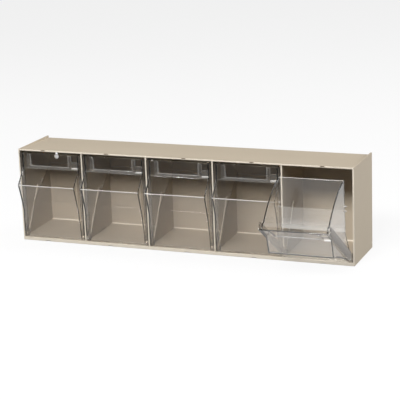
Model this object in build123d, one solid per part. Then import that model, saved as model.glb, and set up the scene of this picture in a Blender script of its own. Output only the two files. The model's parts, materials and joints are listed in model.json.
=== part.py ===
from build123d import *
import math
import os

# A row of clear tip-out bins in one moulded cabinet.
# The origin is the middle of the cabinet's footprint, on the surface it stands on.
# X runs along the row, Y runs to the back and Z runs up.

# Cabinet
cabinet_width = 600.0
cabinet_depth = 110.0
cabinet_height = 163.0
bin_count = 5
end_wall = 2.5
back_wall = 2.5
top_wall = 2.5
floor_wall = 2.5
skirt_wall = 2.5
sill_height = 5.5
draft_angle = 1.9
front_rounding = 0.6
corner_rounding = 2.0

# Partitions
partition_wall = 2.5
groove_depth = 1.0
groove_clearance = 0.1

# Catch ribs on both faces of each partition and on the end walls
rib_height = 1.2
rib_width = 2.0
rib_end_rounding = 0.9
rib_angle = 30.0
rib_length = 81.0
rib_foot_behind = 11.6
rib_foot_above = 7.3

# Wall hanging slots
slot_inset = 17.0
slot_level = 126.0
slot_head_radius = 4.75
slot_neck_width = 5.0
slot_rise = 9.0

# Stacking marks along the front edges
mark_radius = 5.0
mark_reach = 2.2
mark_depth = 1.6
mark_offset_left = 13.0
mark_offset_right = 9.0

# Hinge
pin_radius = 1.8
pin_depth = 1.0
pin_clearance = 0.05
pin_end_gap = 0.3
hinge_inset = 3.6
knuckle_radius = 3.7
heel_length = 4.0
foot_length = 4.0
floor_gap = 0.5
open_angle = 56.5

# Bin
bin_wall = 2.0
bin_side_gap = 4.7
rim_gap = 0.5
rim_depth = 13.0
rim_lip = 1.6
rim_web = 2.0
front_clearance = 3.2
front_proud = 1.5
label_height = 26.5
ridge_drop = 26.3
ridge_reach = 21.4
ridge_rounding = 1.0
belly_share = 0.42
belly_sag = 3.2
mouth_drop = 3.6
back_clearance = 5.5
bend_share = 0.42
bend_angle = 29.0
cut_margin = 1.0
mouth_margin = 20.0

# Card holder and finger tab on the front of a bin
holder_width = 84.0
holder_bar = 6.5
holder_sill = 3.2
holder_base = 2.0
holder_proud = 1.8
card_thickness = 0.8
card_lip = 3.0
card_top_inset = 1.5
tab_width = 11.0
tab_gap = 0.6
tab_height = 12.5
tab_thickness = 1.0
tab_ledge = 3.0
tab_ledge_reach = 3.6

# Catch pips on the sides of a bin
pip_radius = 1.5
pip_rib_gap = 0.3
pip_inset = 2.6
pip_drops = (42.0, 50.0)

# Sizes that follow from the ones above
half_width = cabinet_width / 2
half_depth = cabinet_depth / 2
front = -half_depth
back_inside = half_depth - back_wall
end_inside = half_width - end_wall
draft_slope = math.tan(math.radians(draft_angle))
compartment_width = (2 * end_inside - (bin_count - 1) * partition_wall) / bin_count
pitch = compartment_width + partition_wall
bin_centres = [(i - (bin_count - 1) / 2) * pitch for i in range(bin_count)]
partition_centres = [(i - bin_count / 2 + 1) * pitch for i in range(bin_count - 1)]
hinge_y = front + hinge_inset
hinge_z = sill_height + knuckle_radius + floor_gap
side_outside = compartment_width / 2 - bin_side_gap
rim_outside = compartment_width / 2 - rim_gap
face_y = -hinge_inset - front_proud
rim_rear = face_y + rim_depth
front_height = cabinet_height - top_wall - front_clearance - hinge_z
mouth_radius = front_height - mouth_drop
back_reach = cabinet_depth - back_wall - back_clearance - hinge_inset


def floor_level(y):
    """Top of the sloping floor at a depth."""
    return sill_height + (y - front) * draft_slope


def ceiling_level(y):
    """Underside of the sloping top at a depth."""
    return cabinet_height - top_wall - (y - front) * draft_slope


def prism(points, x_min, x_max):
    """A side outline carried from one x to another."""
    face = make_face(Plane.YZ * Polyline(*points, close=True))
    return Pos(x_min, 0, 0) * extrude(face, x_max - x_min, dir=(1, 0, 0))


def slab(x_range, y_range, z_range):
    """A block between two corners."""
    sizes = [high - low for low, high in (x_range, y_range, z_range)]
    middle = [(low + high) / 2 for low, high in (x_range, y_range, z_range)]
    return Pos(*middle) * Box(*sizes)


def polar(distance, angle):
    """A point in a bin's side view, with its angle counted from upright towards the back."""
    turn = math.radians(angle)
    return (distance * math.sin(turn), distance * math.cos(turn))


def catch_rib(face_x, outward):
    """A slanting rib on the face of a wall, standing out towards a bin."""
    bar = Pos(0, 0, rib_length / 2) * Box(2 * rib_height, rib_width, rib_length)
    bar = fillet(bar.edges().filter_by(Axis.X), rib_end_rounding)
    foot = (hinge_y + rib_foot_behind, hinge_z + rib_foot_above)
    bar = Pos(face_x, *foot) * Rot(-rib_angle, 0, 0) * bar
    beyond = sorted([face_x, face_x + outward * 2 * rib_height])
    return bar & slab(beyond, (front, half_depth), (0, cabinet_height))


def hinge_bore(x_min, x_max):
    """A round pocket for a bin's hinge pin."""
    bore = Cylinder(pin_radius + pin_clearance, x_max - x_min)
    return Pos((x_min + x_max) / 2, hinge_y, hinge_z) * Rot(0, 90, 0) * bore


def partition(centre):
    """An upright plate between two bins, with the hinge bores and catch ribs of both."""
    x_min = centre - partition_wall / 2
    x_max = centre + partition_wall / 2
    foot = -groove_depth
    head = groove_depth - groove_clearance
    outline = [
        (front, floor_level(front) + foot),
        (back_inside, floor_level(back_inside) + foot),
        (back_inside, ceiling_level(back_inside) + head),
        (front, ceiling_level(front) + head),
    ]
    plate = prism(outline, x_min, x_max)
    front_edges = plate.faces().sort_by(Axis.Y)[0].edges().filter_by(Axis.X, reverse=True)
    plate = fillet(front_edges, front_rounding)
    plate -= hinge_bore(x_min, x_max)
    plate += catch_rib(x_min, -1)
    plate += catch_rib(x_max, 1)
    return plate


def hanging_slot(x):
    """A keyhole through the back wall."""
    middle = (back_inside + half_depth) / 2
    through = back_wall + 2 * cut_margin
    neck_top = slot_level + slot_rise
    neck_half = slot_neck_width / 2
    head = Pos(x, middle, slot_level) * Rot(90, 0, 0) * Cylinder(slot_head_radius, through)
    neck = Pos(x, middle, slot_level + slot_rise / 2) * Box(slot_neck_width, through, slot_rise)
    neck_end = Pos(x, middle, neck_top) * Rot(90, 0, 0) * Cylinder(neck_half, through)
    return head + neck + neck_end


def stacking_mark(x, level):
    """A shallow round bite into a front edge."""
    return Pos(x, front + mark_reach - mark_radius, level) * Cylinder(mark_radius, 2 * mark_depth)


def housing():
    """The cabinet's outer shell: top, floor, back and both ends."""
    shell = slab((-half_width, half_width), (front, half_depth), (0, cabinet_height))
    inside = [
        (front, floor_level(front)),
        (back_inside, floor_level(back_inside)),
        (back_inside, ceiling_level(back_inside)),
        (front, ceiling_level(front)),
    ]
    room = prism(inside, -end_inside, end_inside)
    floor_corner = room.edges().filter_by(Axis.X).sort_by(Axis.Z)[:2].sort_by(Axis.Y)[-1:]
    shell -= fillet(floor_corner, corner_rounding)
    rim = shell.faces().filter_by(Axis.Y).sort_by(Axis.Y)[0].edges()
    shell = fillet(rim, front_rounding)
    skirt_inside = front + skirt_wall
    over_top = [
        (skirt_inside, cabinet_height),
        (half_depth, ceiling_level(half_depth) + top_wall),
        (half_depth, cabinet_height + cut_margin),
        (skirt_inside, cabinet_height + cut_margin),
    ]
    shell -= prism(over_top, -end_inside, end_inside)
    under_floor = [
        (skirt_inside, -cut_margin),
        (back_inside, -cut_margin),
        (back_inside, floor_level(back_inside) - floor_wall),
        (skirt_inside, floor_level(skirt_inside) - floor_wall),
    ]
    shell -= prism(under_floor, -end_inside, end_inside)
    for x in partition_centres:
        shell -= groove_pair(x)
    for side in (-1, 1):
        shell += catch_rib(side * end_inside, -side)
        socket = sorted([side * (end_inside - cut_margin), side * (end_inside + pin_depth + pin_end_gap)])
        shell -= hinge_bore(*socket)
        shell -= hanging_slot(side * (half_width - slot_inset))
    for x in bin_centres:
        mark_x = x - mark_offset_left if x < 0 else x + mark_offset_right
        shell -= stacking_mark(mark_x, cabinet_height)
        shell -= stacking_mark(mark_x, 0)
    return shell


def groove_pair(x):
    """The floor and ceiling grooves that hold a partition."""
    half = partition_wall / 2 + groove_clearance
    outline = [
        (front - cut_margin, floor_level(front - cut_margin) - groove_depth),
        (back_inside, floor_level(back_inside) - groove_depth),
        (back_inside, ceiling_level(back_inside) + groove_depth),
        (front - cut_margin, ceiling_level(front - cut_margin) + groove_depth),
    ]
    return prism(outline, x - half, x + half)


def back_point(drop, inset):
    """A point of a bin's side view, down the upper back from its top edge and in from the back."""
    bend = polar(bend_share * mouth_radius, bend_angle)
    top = (back_reach, math.sqrt(mouth_radius**2 - back_reach**2))
    back_angle = math.degrees(math.atan2(top[0] - bend[0], top[1] - bend[1]))
    descent = polar(drop, back_angle)
    inward = polar(inset, back_angle - 90)
    return (top[0] - descent[0] + inward[0], top[1] - descent[1] + inward[1])


def bin_outline(lift):
    """A closed bin seen from its end, with the hinge axis at the origin and its mouth lifted."""
    front_top = front_height + lift
    kink = (face_y, front_height - label_height)
    ridge = (face_y - ridge_reach, kink[1] - ridge_drop)
    heel_start = polar(-knuckle_radius, open_angle)
    heel_climb = polar(heel_length, open_angle - 90)
    heel_end = (heel_start[0] + heel_climb[0], heel_start[1] + heel_climb[1])
    belly_y = heel_end[0] + (ridge[0] - heel_end[0]) * belly_share + belly_sag
    belly = (belly_y, heel_end[1] + (ridge[1] - heel_end[1]) * belly_share)
    bend = polar(bend_share * mouth_radius, bend_angle)
    back_top = back_point(-lift, 0)
    lifted_radius = math.hypot(*back_top)
    arc_front = (rim_rear, math.sqrt(lifted_radius**2 - rim_rear**2))
    crown_angle = math.degrees(math.atan2(*back_top) + math.atan2(*arc_front)) / 2
    lines = Polyline(arc_front, (rim_rear, front_top), (face_y, front_top), kink, ridge)
    lines += ThreePointArc(ridge, belly, heel_end)
    lines += Line(heel_end, heel_start)
    lines += ThreePointArc(heel_start, polar(-knuckle_radius, open_angle / 2), (0, -knuckle_radius))
    lines += Polyline((0, -knuckle_radius), (foot_length, -knuckle_radius), bend, back_top)
    lines += ThreePointArc(back_top, polar(lifted_radius, crown_angle), arc_front)
    return make_face(Plane.YZ * lines)


def both_ways(face, half_length):
    """A side outline carried the same distance to the left and to the right."""
    return extrude(face, half_length, dir=(1, 0, 0), both=True)


def bin_rim():
    """The turned rim down both sides of a bin's front, wider than its body."""
    heights = (-knuckle_radius, front_height)
    depths = (face_y, rim_rear)
    rim = both_ways(bin_outline(0), rim_outside) & slab((-rim_outside, rim_outside), depths, heights)
    rim -= slab((-side_outside, side_outside), depths, heights)
    channel_heights = (knuckle_radius + bin_wall, front_height)
    for side in (-1, 1):
        across = sorted([side * side_outside, side * (rim_outside - rim_lip)])
        rim -= slab(across, (face_y + rim_web, rim_rear), channel_heights)
    return rim


def card_holder():
    """Three raised bars that take a label card from above."""
    top = front_height - card_top_inset
    low = front_height - label_height + holder_base
    half = holder_width / 2
    bars = slab((-half, half), (face_y - holder_proud, face_y), (low, top))
    window = half - holder_bar
    bars -= slab((-window, window), (face_y - holder_proud, face_y), (low + holder_sill, top))
    card = window + card_lip
    bars -= slab((-card, card), (face_y - card_thickness, face_y), (low + holder_sill / 2, top))
    return bars


def finger_tab():
    """A small raised plate with a ledge to tip the bin by."""
    low = front_height - label_height + holder_base
    left = holder_width / 2 + tab_gap
    right = left + tab_width
    tab = slab((left, right), (face_y - tab_thickness, face_y), (low, low + tab_height))
    ledge = slab((left, right), (face_y - tab_ledge_reach, face_y), (low, low + tab_ledge))
    ledge = fillet(ledge.faces().sort_by(Axis.Y)[0].edges(), front_rounding)
    return tab + ledge


def catch_pips():
    """Pairs of pips on both sides, near the rear edge, that stop just clear of the ribs."""
    pips = []
    pip_tip = compartment_width / 2 - rib_height - pip_rib_gap
    for drop in pip_drops:
        y, z = back_point(drop, pip_inset)
        for side in (-1, 1):
            pip_root = side_outside - bin_wall / 2
            pip = Cylinder(pip_radius, pip_tip - pip_root)
            pips.append(Pos(side * (pip_root + pip_tip) / 2, y, z) * Rot(0, 90, 0) * pip)
    return pips


def tip_out_bin():
    """One clear bin in its closed place, with its hinge axis along X at the origin."""
    hollow = offset(bin_outline(mouth_margin), -bin_wall, kind=Kind.INTERSECTION)
    body = both_ways(bin_outline(0), side_outside)
    body = fillet(body.edges().filter_by(Axis.X).sort_by(Axis.Y)[:1], ridge_rounding)
    body -= both_ways(hollow, side_outside - bin_wall)
    body += bin_rim()
    body += card_holder()
    body += finger_tab()
    for pip in catch_pips():
        body += pip
    pin_root = rim_outside - rim_lip
    pin_tip = compartment_width / 2 + pin_depth
    for side in (-1, 1):
        pin = Cylinder(pin_radius, pin_tip - pin_root)
        body += Pos(side * (pin_root + pin_tip) / 2, 0, 0) * Rot(0, 90, 0) * pin
    return body


os.makedirs("parts", exist_ok=True)
export_step(housing(), "parts/housing_shell.step")
for number, centre in enumerate(partition_centres, 1):
    export_step(partition(centre), f"parts/partition_{number}.step")
plain_bin = tip_out_bin()
for number, centre in enumerate(bin_centres, 1):
    turn = open_angle if number == bin_count else 0
    placed = Pos(centre, hinge_y, hinge_z) * Rot(turn, 0, 0) * plain_bin
    export_step(placed, f"parts/bin_{number}.step")
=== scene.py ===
import json
import math
import bpy
from mathutils import Matrix, Quaternion, Vector


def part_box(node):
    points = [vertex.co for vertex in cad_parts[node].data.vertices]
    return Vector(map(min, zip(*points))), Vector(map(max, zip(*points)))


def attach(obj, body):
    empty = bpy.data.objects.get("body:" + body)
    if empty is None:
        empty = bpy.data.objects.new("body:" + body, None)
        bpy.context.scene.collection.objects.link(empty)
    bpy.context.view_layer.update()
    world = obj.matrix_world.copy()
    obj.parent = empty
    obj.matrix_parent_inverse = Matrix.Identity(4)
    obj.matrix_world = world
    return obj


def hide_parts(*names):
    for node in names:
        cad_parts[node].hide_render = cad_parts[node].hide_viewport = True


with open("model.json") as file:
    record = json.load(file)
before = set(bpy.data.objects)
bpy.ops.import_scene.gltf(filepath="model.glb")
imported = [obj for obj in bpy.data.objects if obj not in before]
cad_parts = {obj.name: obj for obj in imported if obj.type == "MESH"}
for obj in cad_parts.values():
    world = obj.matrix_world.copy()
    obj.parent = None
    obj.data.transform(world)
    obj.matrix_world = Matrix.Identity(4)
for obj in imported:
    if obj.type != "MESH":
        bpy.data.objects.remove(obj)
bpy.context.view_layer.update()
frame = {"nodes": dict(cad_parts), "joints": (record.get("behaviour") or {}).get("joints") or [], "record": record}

MM = 0.001

# Bin sizes, as in the part's source, in the closed bin's own frame with its hinge axis at the origin
BIN_WALL = 2.0 * MM
FACE_Y = -5.1 * MM
RIM_REAR = 7.9 * MM
FRONT_TOP = 147.6 * MM
MOUTH_RADIUS = 144.0 * MM
BACK_REACH = 98.4 * MM
BEND_DISTANCE = 60.48 * MM
BEND_ANGLE = math.radians(29.0)
LABEL_HEIGHT = 26.5 * MM
RIDGE_REACH = 21.4 * MM
RIDGE_DROP = 26.3 * MM
BELLY_SHARE = 0.42
BELLY_SAG = 3.2 * MM
KNUCKLE_RADIUS = 3.7 * MM
HEEL_LENGTH = 4.0 * MM
FOOT_LENGTH = 4.0 * MM
SIDE_OUTSIDE = 53.8 * MM
RIM_OUTSIDE = 58.0 * MM
RIM_LIP = 1.6 * MM
RIM_WEB = 2.0 * MM
PIN_RADIUS = 1.8 * MM
EDGE_ROUNDING = 0.8 * MM
RIM_ROUNDING = 0.45 * MM
SHARP_EDGE = math.radians(28)
SMOOTH_EDGE = math.radians(40)
ARC_STEPS = 24
BELLY_STEPS = 12
KNUCKLE_STEPS = 5
DOUBLED = 0.001 * MM
NEARLY = 0.01 * MM

# Card holder, finger tab and catch pips
HOLDER_HALF = 42.0 * MM
HOLDER_BAR = 6.5 * MM
HOLDER_SILL = 3.2 * MM
HOLDER_BASE = 2.0 * MM
HOLDER_PROUD = 1.8 * MM
CARD_THICKNESS = 0.8 * MM
CARD_LIP = 3.0 * MM
CARD_TOP_INSET = 1.5 * MM
HOLDER_ROUNDING = 0.5 * MM
SPACER_OVERLAP = 0.1 * MM
TAB_WIDTH = 11.0 * MM
TAB_GAP = 0.6 * MM
TAB_HEIGHT = 12.5 * MM
TAB_THICKNESS = 1.0 * MM
TAB_LEDGE = 3.0 * MM
TAB_LEDGE_REACH = 3.6 * MM
TAB_ROUNDING = 0.3 * MM
LEDGE_ROUNDING = 0.6 * MM
PIP_RADIUS = 1.5 * MM
PIP_TIP = 57.0 * MM
PIP_INSET = 2.6 * MM
PIP_DROPS = (42.0 * MM, 50.0 * MM)
PIP_ROUNDING = 0.5 * MM
PIN_ROUNDING = 0.3 * MM

# Cabinet places that its finish follows: front edges pale from wear and a painted highlight, stacking marks with
# painted shade, and ribs and floor corner with painted highlights
FRONT_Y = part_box("housing_shell")[0].y
CABINET_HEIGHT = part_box("housing_shell")[1].z
FRONT_WEAR_AND_HIGHLIGHT = (FRONT_Y + 0.3 * MM, FRONT_Y + 1.0 * MM)
MARK_REACH = 2.2 * MM
MARK_DEPTH = 1.6 * MM
MARK_LIP = 0.15 * MM
BIN_PITCH = 119.5 * MM
# Catch ribs, which carry a painted highlight
RIB_TOP = (57.1 * MM, 58.2 * MM)
RIB_HEIGHTS = (9.0 * MM, 150.0 * MM)
RIB_REAR = 45.0 * MM
# Floor corner at the back wall, which carries a painted highlight as a pale band
FLOOR_CORNER_Y = 49.5 * MM
FLOOR_CORNER_HEIGHTS = (8.9 * MM, 10.8 * MM)

# Painted highlights and painted dark lines on a bin's edges, from 1 for a white edge down to -1 for a dark one
EDGE_REACH = 0.1 * MM
ROUNDED_BELOW = 0.98
RIDGE_LIGHT = 0.85
BACK_TOP_LIGHT = 0.9
LEDGE_LIGHT = 0.7
TAB_LIGHT = 0.08
HOLDER_EDGE_LIGHT = 0.35
HOLDER_LIGHT = 0.04
RIGHT_PROFILE_LIGHT = -0.6
LEFT_PROFILE_LIGHT = 0.5
PIP_LIGHT = 0.25
RIM_LIGHT = -0.35

# Painted milky reflection on the bin that stands open, its heights measured at y = 0 and rising towards the front
REFLECTING_PANEL_AREA = 200 * MM * MM
OPEN_BIN_EDGE_LIGHT = 0.5
UPRIGHT = 0.97
LEANING = 0.7
LEANING_SHARE = 0.3
REFLECTION_SLOPE = 0.27
FAINT_REFLECTION = (76 * MM, 80 * MM)
FAINT_REFLECTION_SHARE = 0.12
STRONG_REFLECTION = (39 * MM, 66 * MM)
STRONG_REFLECTION_SHARE = 0.20

# Colours
DEEP_BEIGE = (0.420, 0.356, 0.271, 1)
PALE_BEIGE = (0.470, 0.402, 0.310, 1)
BEIGE_SPECKLE = (0.530, 0.462, 0.362, 1)
# Pale tone for wear on the front edges and for painted highlights on the front edges, ribs and floor corner
WEAR_AND_HIGHLIGHT_BEIGE = (0.880, 0.810, 0.695, 1)
# Painted shade in the stacking marks
RECESS_SHADE = (0.120, 0.098, 0.070, 1)
CLEAR_TINT = (0.987, 0.977, 0.962, 1)
UNBENT_TINT = (0.93, 0.93, 0.935, 1)
# Pale colour of painted highlights and painted milky reflection on the clear plastic, and dark colour of its
# painted dark lines
PAINTED_PALE = (0.93, 0.91, 0.87, 1)
PAINTED_DARK = (0.09, 0.075, 0.06, 1)
DIM_FLOOR = (0.06, 0.06, 0.06, 1)
PALE_FLOOR = (0.80, 0.80, 0.80, 1)

# Studio, with the floor's distances ahead of the origin
FLOOR_GLOW = 0.86
NEAR_FLOOR = (0.17, 0.21)
NEAR_FLOOR_SHARE = 0.35
FAR_FLOOR = (0.44, 0.52)
FAR_FLOOR_SHARE = 0.03
SKY_LIGHT = 0.01
MIRRORED_SKY = 0.08

# Sizes read from the frame
OPEN_ANGLE = math.radians(frame["joints"][0]["range_deg"][1])
PIN_TIP = (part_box("bin_1")[1].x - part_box("bin_1")[0].x) / 2


def deselect():
    """Nothing is selected, so an operator acts only on what comes next."""
    bpy.ops.object.select_all(action="DESELECT")


def take(piece):
    """Selects one piece and nothing else."""
    deselect()
    piece.select_set(True)
    bpy.context.view_layer.objects.active = piece


def edit(piece):
    """Edit mode on one piece with nothing else selected."""
    take(piece)
    bpy.ops.object.mode_set(mode="EDIT")


def done():
    """Back to object mode."""
    bpy.ops.object.mode_set(mode="OBJECT")


def pick(piece, wanted):
    """Selects the faces whose centre and normal pass a test, in edit mode."""
    bpy.ops.mesh.select_all(action="DESELECT")
    done()
    for face in piece.data.polygons:
        face.select = wanted(face.center, face.normal)
    bpy.ops.object.mode_set(mode="EDIT")
    bpy.ops.mesh.select_mode(type="FACE")


def tidy_normals(piece):
    """Joins doubled points and turns every face outwards."""
    edit(piece)
    bpy.ops.mesh.select_all(action="SELECT")
    bpy.ops.mesh.remove_doubles(threshold=DOUBLED)
    bpy.ops.mesh.normals_make_consistent(inside=False)
    done()


def finish_with(piece, kind, **settings):
    """Adds a modifier with its settings and applies it."""
    take(piece)
    modifier = piece.modifiers.new(kind.title(), kind)
    for name, value in settings.items():
        setattr(modifier, name, value)
    bpy.ops.object.modifier_apply(modifier=modifier.name)


def round_edges(piece, width, segments=2):
    """Rounds every sharp edge of a piece."""
    finish_with(
        piece, "BEVEL", width=width, segments=segments,
        limit_method="ANGLE", angle_limit=SHARP_EDGE,
    )


def join_solid(piece, addition):
    """Melts a fitting into a piece, so that clear plastic has no walls inside it."""
    finish_with(piece, "BOOLEAN", operation="UNION", solver="EXACT", object=addition)
    bpy.data.objects.remove(addition)


def cut_away(piece, tool):
    finish_with(piece, "BOOLEAN", operation="DIFFERENCE", solver="EXACT", object=tool)
    bpy.data.objects.remove(tool)


def pulled_outline(name, points, pull):
    """An outline drawn point by point from one corner, filled, and pulled into a solid."""
    deselect()
    bpy.ops.mesh.primitive_plane_add(size=MM, location=points[0])
    piece = bpy.context.object
    piece.name = name
    edit(piece)
    bpy.ops.mesh.select_mode(type="VERT")
    bpy.ops.mesh.select_all(action="SELECT")
    bpy.ops.mesh.merge(type="CENTER")
    for here, there in zip(points, points[1:] + points[:1]):
        bpy.ops.mesh.extrude_vertices_move(TRANSFORM_OT_translate={"value": there - here})
    bpy.ops.mesh.select_all(action="SELECT")
    bpy.ops.mesh.remove_doubles(threshold=NEARLY)
    bpy.ops.mesh.edge_face_add()
    bpy.ops.mesh.extrude_region_move(TRANSFORM_OT_translate={"value": pull})
    done()
    put_place_in_mesh(piece)
    tidy_normals(piece)
    return piece


def put_place_in_mesh(piece):
    """Leaves a piece at the origin, unturned and unscaled, with its place in its mesh."""
    take(piece)
    bpy.ops.object.transform_apply(location=True, rotation=True, scale=True)


def block(name, low, high):
    """A cube between two corners."""
    middle = [(a + b) / 2 for a, b in zip(low, high)]
    size = [b - a for a, b in zip(low, high)]
    deselect()
    bpy.ops.mesh.primitive_cube_add(size=1, location=middle, scale=size)
    piece = bpy.context.object
    piece.name = name
    put_place_in_mesh(piece)
    return piece


def peg(name, x_from, x_to, y, z, radius, tip_rounding):
    """A short round peg along X with a rounded outer end."""
    deselect()
    bpy.ops.mesh.primitive_cylinder_add(
        vertices=24, radius=radius, depth=abs(x_to - x_from),
        location=((x_from + x_to) / 2, y, z), rotation=(0, math.pi / 2, 0),
    )
    piece = bpy.context.object
    piece.name = name
    put_place_in_mesh(piece)
    edit(piece)
    pick(piece, lambda centre, normal: abs(centre.x - x_to) < NEARLY)
    bpy.ops.mesh.bevel(offset=tip_rounding, segments=3, affect="EDGES")
    done()
    return piece


def at(y, z, x=0.0):
    """A point in a bin's side view, on its middle plane unless x says otherwise."""
    return Vector((x, y, z))


def polar(distance, angle):
    """A point in a bin's side view, with its angle counted from upright towards the back."""
    return at(distance * math.sin(angle), distance * math.cos(angle))


def arc_about_hinge(start, end, steps):
    """Points on a circle about the hinge axis, from one point to the next, without the first."""
    radius = start.length
    start_angle = math.atan2(start.y, start.z)
    sweep = math.atan2(end.y, end.z) - start_angle
    if abs(sweep) > math.pi:
        sweep -= math.copysign(2 * math.pi, sweep)
    return [polar(radius, start_angle + sweep * i / steps) for i in range(1, steps + 1)]


def arc_through(start, middle, end, steps):
    """Points on the circle through three points, from the first to the last, without the first."""
    a, b = middle - start, end - start
    across = a.cross(b)
    to_centre = (across.cross(a) * b.length_squared + b.cross(across) * a.length_squared)
    centre = start + to_centre / (2 * across.length_squared)
    spoke = start - centre
    axis = across.normalized()
    sweep = spoke.angle(end - centre)
    return [centre + Quaternion(axis, sweep * i / steps) @ spoke for i in range(1, steps + 1)]


KINK = at(FACE_Y, FRONT_TOP - LABEL_HEIGHT)
RIDGE = at(FACE_Y - RIDGE_REACH, KINK.z - RIDGE_DROP)
HEEL_START = polar(-KNUCKLE_RADIUS, OPEN_ANGLE)
HEEL_END = HEEL_START + polar(HEEL_LENGTH, OPEN_ANGLE - math.pi / 2)
BELLY = HEEL_END.lerp(RIDGE, BELLY_SHARE) + at(BELLY_SAG, 0)
BEND = polar(BEND_DISTANCE, BEND_ANGLE)
BACK_TOP = at(BACK_REACH, math.sqrt(MOUTH_RADIUS**2 - BACK_REACH**2))
MOUTH_FRONT = at(RIM_REAR, math.sqrt(MOUTH_RADIUS**2 - RIM_REAR**2))
FOOT_FRONT = at(0, -KNUCKLE_RADIUS)
FOOT_REAR = at(FOOT_LENGTH, -KNUCKLE_RADIUS)


def heel():
    """The rounded foot of the side view, from the lower front panel to the flat foot."""
    return [HEEL_END, HEEL_START, *arc_about_hinge(HEEL_START, FOOT_FRONT, KNUCKLE_STEPS), FOOT_REAR]


def bin_body():
    """The folded tray of a bin: label face, ridge, belly, back in two facets and two sides."""
    front = [at(FACE_Y, FRONT_TOP), KINK, RIDGE]
    belly = arc_through(RIDGE, BELLY, HEEL_END, BELLY_STEPS)[:-1]
    mouth = arc_about_hinge(BACK_TOP, MOUTH_FRONT, ARC_STEPS)
    outline = front + belly + heel() + [BEND, BACK_TOP] + mouth + [at(RIM_REAR, FRONT_TOP)]
    side = Vector((SIDE_OUTSIDE, 0, 0))
    body = pulled_outline("bin_pattern", [p - side for p in outline], 2 * side)
    edit(body)
    pick(body, is_mouth)
    bpy.ops.mesh.delete(type="ONLY_FACE")
    done()
    finish_with(
        body, "SOLIDIFY", thickness=BIN_WALL, offset=-1,
        use_even_offset=True, use_quality_normals=True,
    )
    round_edges(body, EDGE_ROUNDING, 3)
    return body


def is_mouth(centre, normal):
    """True for a face over the open top of a bin."""
    behind_label = centre.y > FACE_Y + EDGE_ROUNDING and centre.z > BACK_TOP.z
    up_or_back = normal.z > 0.5 or normal.y > 0.5
    return behind_label and along_bin(normal) and up_or_back and off_back(centre)


def along_bin(normal):
    """True for a face that runs across the bin's width."""
    return abs(normal.x) < 0.5


def off_back(centre):
    """True away from the back panel, whose faces also look up and back."""
    return Vector((centre.y, centre.z)).length > MOUTH_RADIUS - BIN_WALL


def rim(side):
    """One turned rim: a web flush with the label face, a lip turned back, and a solid foot."""
    low_front = at(FACE_Y, HEEL_END.z)
    back_climb = (BEND - FOOT_REAR) * ((RIM_REAR - FOOT_REAR.y) / (BEND.y - FOOT_REAR.y))
    rear = [FOOT_REAR + back_climb, at(RIM_REAR, FRONT_TOP)]
    outline = [at(FACE_Y, FRONT_TOP), low_front, *heel()[1:], *rear]
    inner_x = side * (SIDE_OUTSIDE - BIN_WALL / 2)
    start = Vector((inner_x, 0, 0))
    width = Vector((side * RIM_OUTSIDE - inner_x, 0, 0))
    piece = pulled_outline("rim", [p + start for p in outline], width)
    channel_low = KNUCKLE_RADIUS + BIN_WALL
    lip_x = side * (RIM_OUTSIDE - RIM_LIP)
    reach_x = side * (SIDE_OUTSIDE - BIN_WALL)
    low = (min(lip_x, reach_x), FACE_Y + RIM_WEB, channel_low)
    high = (max(lip_x, reach_x), RIM_REAR + BIN_WALL, FRONT_TOP + BIN_WALL)
    cut_away(piece, block("channel", low, high))
    round_edges(piece, RIM_ROUNDING)
    return piece


def holder_bars(name, half_width, window_half, sill_low, sill_high, y_from, y_to):
    """Three bars in a U, open at the top, standing on the label face."""
    top = FRONT_TOP - CARD_TOP_INSET
    corners = [
        (-half_width, top), (-half_width, sill_low), (half_width, sill_low), (half_width, top),
        (window_half, top), (window_half, sill_high), (-window_half, sill_high), (-window_half, top),
    ]
    points = [at(y_from, z, x) for x, z in corners]
    return pulled_outline(name, points, Vector((0, y_to - y_from, 0)))


def card_holder():
    """The raised bars, with the slot for a card behind their inner edges."""
    base = FRONT_TOP - LABEL_HEIGHT + HOLDER_BASE
    window = HOLDER_HALF - HOLDER_BAR
    sill = base + HOLDER_SILL
    cover_y = FACE_Y - CARD_THICKNESS
    spacer = holder_bars(
        "spacer", HOLDER_HALF, window + CARD_LIP, base, base + HOLDER_SILL / 2,
        FACE_Y + BIN_WALL / 2, cover_y - SPACER_OVERLAP,
    )
    cover = holder_bars("cover", HOLDER_HALF, window, base, sill, cover_y, FACE_Y - HOLDER_PROUD)
    round_edges(cover, HOLDER_ROUNDING)
    return spacer, cover


def finger_tab():
    """The small plate and the ledge beside the card holder."""
    base = FRONT_TOP - LABEL_HEIGHT + HOLDER_BASE
    left = HOLDER_HALF + TAB_GAP
    right = left + TAB_WIDTH
    inside = FACE_Y + BIN_WALL / 2
    plate = block("plate", (left, FACE_Y - TAB_THICKNESS, base), (right, inside, base + TAB_HEIGHT))
    round_edges(plate, TAB_ROUNDING)
    ledge = block("ledge", (left, FACE_Y - TAB_LEDGE_REACH, base), (right, inside, base + TAB_LEDGE))
    round_edges(ledge, LEDGE_ROUNDING, 3)
    return plate, ledge


def catch_pips(side):
    """The two pips near the rear edge of one side."""
    up_the_back = (BACK_TOP - BEND).normalized()
    inward = Vector((0, -up_the_back.z, up_the_back.y))
    root = side * (SIDE_OUTSIDE - BIN_WALL / 2)
    for drop in PIP_DROPS:
        place = BACK_TOP - up_the_back * drop + inward * PIP_INSET
        yield peg("pip", root, side * PIP_TIP, place.y, place.z, PIP_RADIUS, PIP_ROUNDING)


def hinge_pin(side):
    """The pin that a bin turns on, at one side."""
    root = side * (RIM_OUTSIDE - RIM_LIP)
    return peg("pin", root, side * PIN_TIP, 0, 0, PIN_RADIUS, PIN_ROUNDING)


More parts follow.
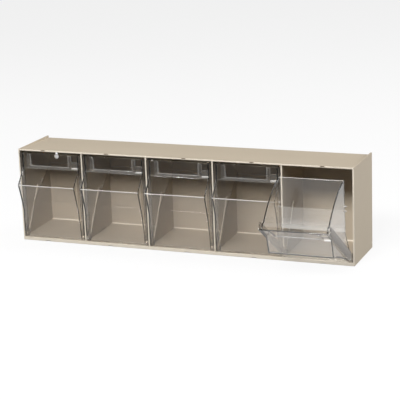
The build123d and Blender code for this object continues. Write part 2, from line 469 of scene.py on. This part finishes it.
def clear_bin_pattern():
    """One whole bin, closed, with its hinge axis at the origin."""
    body = bin_body()
    for side in (-1, 1):
        join_solid(body, rim(side))
        for pip in catch_pips(side):
            join_solid(body, pip)
        join_solid(body, hinge_pin(side))
    for fitting in (*card_holder(), *finger_tab()):
        join_solid(body, fitting)
    tidy_normals(body)
    paint_edge_light(body)
    return body


def paint_edge_light(piece):
    """Gives every face its painted edge light, from highlight to dark line, which the clear plastic reads."""
    marks = piece.data.attributes.new("painted_edge_light", "FLOAT", "FACE")
    for face in piece.data.polygons:
        marks.data[face.index].value = painted_edge_light(face.center, face.normal)


def painted_edge_light(centre, normal):
    """The painted edge light of a face of a closed bin, from a highlight to a dark line, or 0 away from the
    painted edges.
    """
    side_view = at(centre.y, centre.z)
    if along_bin(normal) and (side_view - RIDGE).length < 1.5 * EDGE_ROUNDING:
        return RIDGE_LIGHT
    if along_bin(normal) and (side_view - BACK_TOP).length < 1.5 * BIN_WALL:
        return BACK_TOP_LIGHT
    proud = centre.y < FACE_Y - EDGE_REACH
    on_label = proud and centre.z > KINK.z
    if on_label and centre.x > HOLDER_HALF + TAB_GAP / 2:
        on_ledge = centre.z < KINK.z + HOLDER_BASE + 1.2 * TAB_LEDGE
        return LEDGE_LIGHT if on_ledge else TAB_LIGHT
    rounded = max(abs(normal.x), abs(normal.y), abs(normal.z)) < ROUNDED_BELOW
    if on_label:
        return HOLDER_EDGE_LIGHT if rounded else HOLDER_LIGHT
    on_side = abs(abs(centre.x) - SIDE_OUTSIDE) < EDGE_ROUNDING
    if on_side and proud and centre.z < KINK.z and rounded:
        return RIGHT_PROFILE_LIGHT if centre.x > 0 else LEFT_PROFILE_LIGHT
    if abs(centre.x) > SIDE_OUTSIDE + EDGE_REACH:
        return PIP_LIGHT if centre.y > 2 * RIM_REAR else RIM_LIGHT
    return 0.0


def place_bin(pattern, joint):
    """A copy of the bin on its own hinge, turned as it stands at rest."""
    piece = pattern.copy()
    piece.data = pattern.data.copy()
    bpy.context.collection.objects.link(piece)
    rest_turn = -math.radians(joint["range_deg"][0])
    piece.data.transform(Matrix.Translation(joint["pos_m"]) @ Matrix.Rotation(rest_turn, 4, "X"))
    piece.name = "clear_" + joint["child"]
    if rest_turn > 0:
        # The open bin gets a painted milky reflection
        mark_painted_reflection(piece)
    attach(piece, joint["child"])
    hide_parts(joint["child"])
    return piece


def mark_painted_reflection(piece):
    """Marks the upright panels of the open bin for a painted milky reflection, and dims its painted edge
    highlights.
    """
    marks = piece.data.attributes.new("painted_reflection", "FLOAT", "FACE")
    for face in piece.data.polygons:
        facing = abs(face.normal.y)
        share = 1.0 if facing > UPRIGHT else LEANING_SHARE
        is_panel = facing > LEANING and face.area > REFLECTING_PANEL_AREA
        marks.data[face.index].value = share if is_panel else 0.0
    for mark in piece.data.attributes["painted_edge_light"].data:
        mark.value = min(mark.value, OPEN_BIN_EDGE_LIGHT)


class Value:
    """A shader socket that can be used in sums."""

    def __init__(self, tree, socket):
        self.tree = tree
        self.socket = socket

    def combined(self, operation, first, second):
        node = self.tree.nodes.new("ShaderNodeMath")
        node.operation = operation
        for slot, value in zip(node.inputs, (first, second)):
            if isinstance(value, Value):
                self.tree.links.new(value.socket, slot)
            else:
                slot.default_value = value
        return Value(self.tree, node.outputs[0])

    def __add__(self, other):
        return self.combined("ADD", self, other)

    def __radd__(self, other):
        return self.combined("ADD", other, self)

    def __sub__(self, other):
        return self.combined("SUBTRACT", self, other)

    def __rsub__(self, other):
        return self.combined("SUBTRACT", other, self)

    def __mul__(self, other):
        return self.combined("MULTIPLY", self, other)

    def __rmul__(self, other):
        return self.combined("MULTIPLY", other, self)

    def __lt__(self, other):
        return self.combined("LESS_THAN", self, other)

    def __gt__(self, other):
        return self.combined("GREATER_THAN", self, other)

    def at_least(self, other):
        return self.combined("MAXIMUM", self, other)

    def between(self, limits):
        """1 between two limits and 0 elsewhere."""
        low, high = limits
        return (self > low) * (self < high)


class Shading:
    """A node tree of a material or the world, with one method that adds any node to it."""

    def __init__(self, tree):
        self.tree = tree
        self.tree.nodes.clear()

    def node(self, kind, settings=None, inputs=None, output=0):
        node = self.tree.nodes.new("ShaderNode" + kind)
        for name, value in (settings or {}).items():
            setattr(node, name, value)
        for name, value in (inputs or {}).items():
            if isinstance(value, Value):
                self.tree.links.new(value.socket, node.inputs[name])
            else:
                node.inputs[name].default_value = value
        if not node.outputs:
            return None
        return Value(self.tree, node.outputs[output])

    def place_on_object(self):
        """The place on the object in the part's own frame."""
        return self.node("TexCoord", output="Object")

    def along(self, axis, place):
        """One coordinate of a place."""
        return self.node("SeparateXYZ", inputs={"Vector": place}, output=axis)

    def distance_from_zero(self, value):
        return self.node("Math", {"operation": "ABSOLUTE"}, {0: value})

    def attribute(self, name):
        """A mark on the faces of a piece."""
        return self.node("Attribute", {"attribute_name": name}, output="Fac")

    def noise(self, place, scale, detail, roughness=0.5, stretch=(1, 1, 1)):
        """Soft blotches from 0 to 1, scale in blotches per metre."""
        mapped = self.node("Mapping", inputs={"Vector": place, "Scale": stretch})
        inputs = {"Vector": mapped, "Scale": scale, "Detail": detail, "Roughness": roughness}
        return self.node("TexNoise", inputs=inputs, output="Fac")

    def ramp(self, value, low, high):
        """0 below low, 1 above high, smooth between."""
        inputs = {"Value": value, "From Min": low, "From Max": high}
        return self.node("MapRange", {"interpolation_type": "SMOOTHSTEP"}, inputs)

    def mix(self, share, first, second):
        inputs = {0: share, 6: first, 7: second}
        return self.node("Mix", {"data_type": "RGBA"}, inputs, output=2)

    def bump(self, height, distance):
        return self.node("Bump", inputs={"Height": height, "Distance": distance, "Strength": 1.0})

    def before_any_wall(self):
        """1 until a ray has met a matt surface."""
        return self.node("LightPath", output="Diffuse Depth") < 0.5

    def seen(self):
        """1 where the camera looks straight at a surface."""
        return self.node("LightPath", output="Is Camera Ray") * self.before_any_wall()

    def mirrored(self):
        """1 where the camera looks at a surface or the sky in or through a bin."""
        through = self.node("LightPath", output="Is Transmission Ray")
        glossy = self.node("LightPath", output="Is Glossy Ray")
        return through.at_least(glossy) * self.before_any_wall()


def new_material(name):
    material = bpy.data.materials.new(name)
    material.use_nodes = True
    return material, Shading(material.node_tree)


def shaded_stacking_marks(finish, depth, height):
    """1 in the stacking marks, where shade is painted."""
    in_skirt = depth.between((FRONT_Y + MARK_LIP, FRONT_Y + MARK_REACH + MARK_LIP))
    middle = CABINET_HEIGHT / 2
    from_middle = finish.distance_from_zero(height - middle)
    return in_skirt * from_middle.between((middle - MARK_DEPTH - MARK_LIP, middle - MARK_LIP))


def painted_rib_highlight(finish, across, depth, height):
    """1 on the catch ribs, where a highlight is painted pale."""
    turns = finish.node("Math", {"operation": "WRAP"}, {0: across, 1: -BIN_PITCH / 2, 2: BIN_PITCH / 2})
    off_wall = finish.distance_from_zero(turns).between(RIB_TOP)
    return off_wall * height.between(RIB_HEIGHTS) * (depth < RIB_REAR)


def cabinet_plastic():
    """Satin beige moulded plastic, paler along its front edges from wear and a painted highlight, with painted
    highlights on the ribs and floor corner and painted shade in the stacking marks.
    """
    material, finish = new_material("cabinet_plastic")
    place = finish.place_on_object()
    cloud = finish.noise(place, 9.0, 2.0)
    speckle = finish.noise(place, 700.0, 2.0)
    grain = finish.noise(place, 1500.0, 3.0, 0.6)
    flow = finish.noise(place, 30.0, 3.0, stretch=(0.12, 1, 1))
    across = finish.along("X", place)
    depth = finish.along("Y", place)
    height = finish.along("Z", place)
    front_edge = 1 - finish.ramp(depth, *FRONT_WEAR_AND_HIGHLIGHT)
    floor_corner_highlight = (depth > FLOOR_CORNER_Y) * height.between(FLOOR_CORNER_HEIGHTS)
    ribs = painted_rib_highlight(finish, across, depth, height)
    # Front edges pale from wear and a painted highlight; ribs and floor corner pale from painted highlights
    wear_and_highlight = (front_edge * 0.55).at_least(floor_corner_highlight * 0.6).at_least(ribs * 0.85)
    body = finish.mix(cloud * 0.6 + flow * 0.4, DEEP_BEIGE, PALE_BEIGE)
    body = finish.mix(speckle * 0.25, body, BEIGE_SPECKLE)
    body = finish.mix(wear_and_highlight, body, WEAR_AND_HIGHLIGHT_BEIGE)
    # Painted shade in the stacking marks
    recess_shade = shaded_stacking_marks(finish, depth, height) * 0.75
    colour = finish.mix(recess_shade, body, RECESS_SHADE)
    roughness = 0.42 + cloud * 0.10 + speckle * 0.08 - front_edge * 0.08
    normal = finish.bump(grain * 0.6 + flow * 0.4, 0.03 * MM)
    inputs = {"Base Color": colour, "Roughness": roughness, "Normal": normal, "IOR": 1.5}
    finish.node("OutputMaterial", inputs={"Surface": finish.node("BsdfPrincipled", inputs=inputs)})
    return material


def painted_reflection_share(finish, place):
    """The share of painted milky reflection on the marked panels, stronger low down."""
    level = finish.along("Z", place) + finish.along("Y", place) * REFLECTION_SLOPE
    light = 1 - finish.ramp(level, *FAINT_REFLECTION)
    dense = 1 - finish.ramp(level, *STRONG_REFLECTION)
    return finish.attribute("painted_reflection") * (light * FAINT_REFLECTION_SHARE + dense * STRONG_REFLECTION_SHARE)


def clear_plastic():
    """Clear moulded plastic, slightly wavy and scuffed, with painted highlights and painted dark lines on its
    marked edges and a painted milky reflection on the open bin's panels.
    """
    material, finish = new_material("clear_plastic")
    place = finish.place_on_object()
    waves = finish.noise(place, 22.0, 1.0)
    scuffs = finish.noise(place, 60.0, 4.0, 0.65, stretch=(1, 1, 0.25))
    smears = finish.ramp(scuffs, 0.55, 0.80)
    inputs = {
        "Base Color": CLEAR_TINT, "Roughness": 0.010 + smears * 0.05,
        "Normal": finish.bump(waves, 0.20 * MM), "IOR": 1.58, "Transmission Weight": 1.0,
    }
    plastic = finish.node("BsdfPrincipled", inputs=inputs)
    # Painted highlights and painted milky reflection mix in a pale shader, painted dark lines in a dark one
    lit = finish.node("BsdfPrincipled", inputs={"Base Color": PAINTED_PALE, "Roughness": 0.30})
    dark = finish.node("BsdfPrincipled", inputs={"Base Color": PAINTED_DARK, "Roughness": 0.15})
    edge = finish.attribute("painted_edge_light")
    lit_share = painted_reflection_share(finish, place).at_least(edge * 0.65)
    plastic = finish.node("MixShader", inputs={0: lit_share, 1: plastic, 2: lit})
    plastic = finish.node("MixShader", inputs={0: (0 - edge).at_least(0.0), 1: plastic, 2: dark})
    unbent = finish.node("BsdfTransparent", inputs={"Color": UNBENT_TINT})
    from_wall = finish.node("LightPath", output="Is Diffuse Ray")
    from_lamp = finish.node("LightPath", output="Is Shadow Ray")
    to_wall = finish.node("MixShader", inputs={0: from_wall, 1: plastic, 2: unbent})
    to_lamp = finish.node("MixShader", inputs={0: from_lamp, 1: to_wall, 2: unbent})
    finish.node("OutputMaterial", inputs={"Surface": to_lamp})
    return material


def studio_white():
    """The pale floor: white to the camera and in mirror images, with the object's shadow."""
    material, finish = new_material("studio_white")
    ahead = 0 - finish.along("Y", finish.place_on_object())
    near = NEAR_FLOOR_SHARE + (1 - NEAR_FLOOR_SHARE) * finish.ramp(ahead, *NEAR_FLOOR)
    far = 1 - (1 - FAR_FLOOR_SHARE) * finish.ramp(ahead, *FAR_FLOOR)
    mirrored = finish.mirrored() * near * far
    seen = finish.seen()
    tone = finish.mix(seen.at_least(mirrored), DIM_FLOOR, PALE_FLOOR)
    paper = finish.node("BsdfDiffuse", inputs={"Color": tone})
    glow = finish.node("Emission", inputs={"Color": (1, 1, 1, 1), "Strength": 1.0})
    shown = finish.node("MixShader", inputs={0: seen * FLOOR_GLOW, 1: paper, 2: glow})
    shown = finish.node("MixShader", inputs={0: mirrored, 1: shown, 2: glow})
    finish.node("OutputMaterial", inputs={"Surface": shown})
    return material


def give(piece, material):
    piece.data.materials.clear()
    piece.data.materials.append(material)


def smooth(piece):
    """Shades rounded edges smooth and keeps the flat panels flat."""
    take(piece)
    bpy.ops.object.shade_smooth_by_angle(angle=SMOOTH_EDGE)
    finish_with(piece, "WEIGHTED_NORMAL", mode="FACE_AREA", weight=100, keep_sharp=True)


def area_light(name, place, target, size, power):
    """A soft box that faces a point."""
    data = bpy.data.lights.new(name, "AREA")
    data.shape = "RECTANGLE"
    data.size, data.size_y = size
    data.energy = power
    lamp = bpy.data.objects.new(name, data)
    bpy.context.collection.objects.link(lamp)
    lamp.location = place
    lamp.rotation_euler = (Vector(target) - Vector(place)).to_track_quat("-Z", "Y").to_euler()


def sky():
    """A dim even sky that shows white behind the object."""
    world = bpy.data.worlds.new("studio_sky")
    world.use_nodes = True
    bpy.context.scene.world = world
    shading = Shading(world.node_tree)
    strength = SKY_LIGHT + shading.mirrored() * MIRRORED_SKY
    backdrop = shading.node("Background", inputs={"Color": (1, 1, 1, 1), "Strength": strength})
    shading.node("OutputWorld", inputs={"Surface": backdrop})


def studio():
    """Floor, sky and soft boxes."""
    deselect()
    bpy.ops.mesh.primitive_plane_add(size=30, location=(0, 0, 0))
    floor = bpy.context.object
    floor.name = "floor"
    give(floor, studio_white())
    sky()
    area_light("key", (0.05, -1.75, 1.50), (0, 0, 0.06), (1.0, 0.5), 53)
    area_light("top", (0.0, 0.6, 2.2), (0, 0, 0.16), (1.6, 0.8), 12.5)
    area_light("right", (2.2, 0.1, 0.7), (0, 0, 0.08), (1.2, 1.0), 31)
    area_light("behind", (1.5, 1.6, 1.1), (0, 0, 0.08), (1.4, 1.0), 16)
    area_light("left", (-2.0, 0.3, 0.6), (0, 0, 0.08), (1.0, 0.8), 12)
    area_light("kicker", (-0.90, -1.45, 1.60), (0, 0, 0.10), (0.35, 0.35), 11)


def camera():
    """The photograph's view: its direction, distance, roll and focal length."""
    azimuth, elevation, roll = math.radians(22.148), math.radians(14.954), math.radians(-2.118)
    target = Vector((0.01180, 0.005, 0.07621))
    distance = 2.45874
    level = math.cos(elevation)
    back = Vector((math.sin(azimuth) * level, -math.cos(azimuth) * level, math.sin(elevation)))
    data = bpy.data.cameras.new("camera")
    data.lens = 129.87
    data.sensor_width = 36
    eye = bpy.data.objects.new("camera", data)
    bpy.context.collection.objects.link(eye)
    eye.location = target + back * distance
    eye.rotation_mode = "QUATERNION"
    eye.rotation_quaternion = (-back).to_track_quat("-Z", "Y") @ Quaternion((0, 0, 1), roll)
    bpy.context.scene.camera = eye


camera()
studio()
beige = cabinet_plastic()
clear = clear_plastic()
cabinet_nodes = frame["record"]["behaviour"]["bodies"]["cabinet"]
for name, node in frame["nodes"].items():
    give(node, beige if name in cabinet_nodes else clear)
pattern = clear_bin_pattern()
give(pattern, clear)
smooth(pattern)
for joint in frame["joints"]:
    place_bin(pattern, joint)
bpy.data.objects.remove(pattern)

bpy.context.scene.view_settings.view_transform = "Standard"
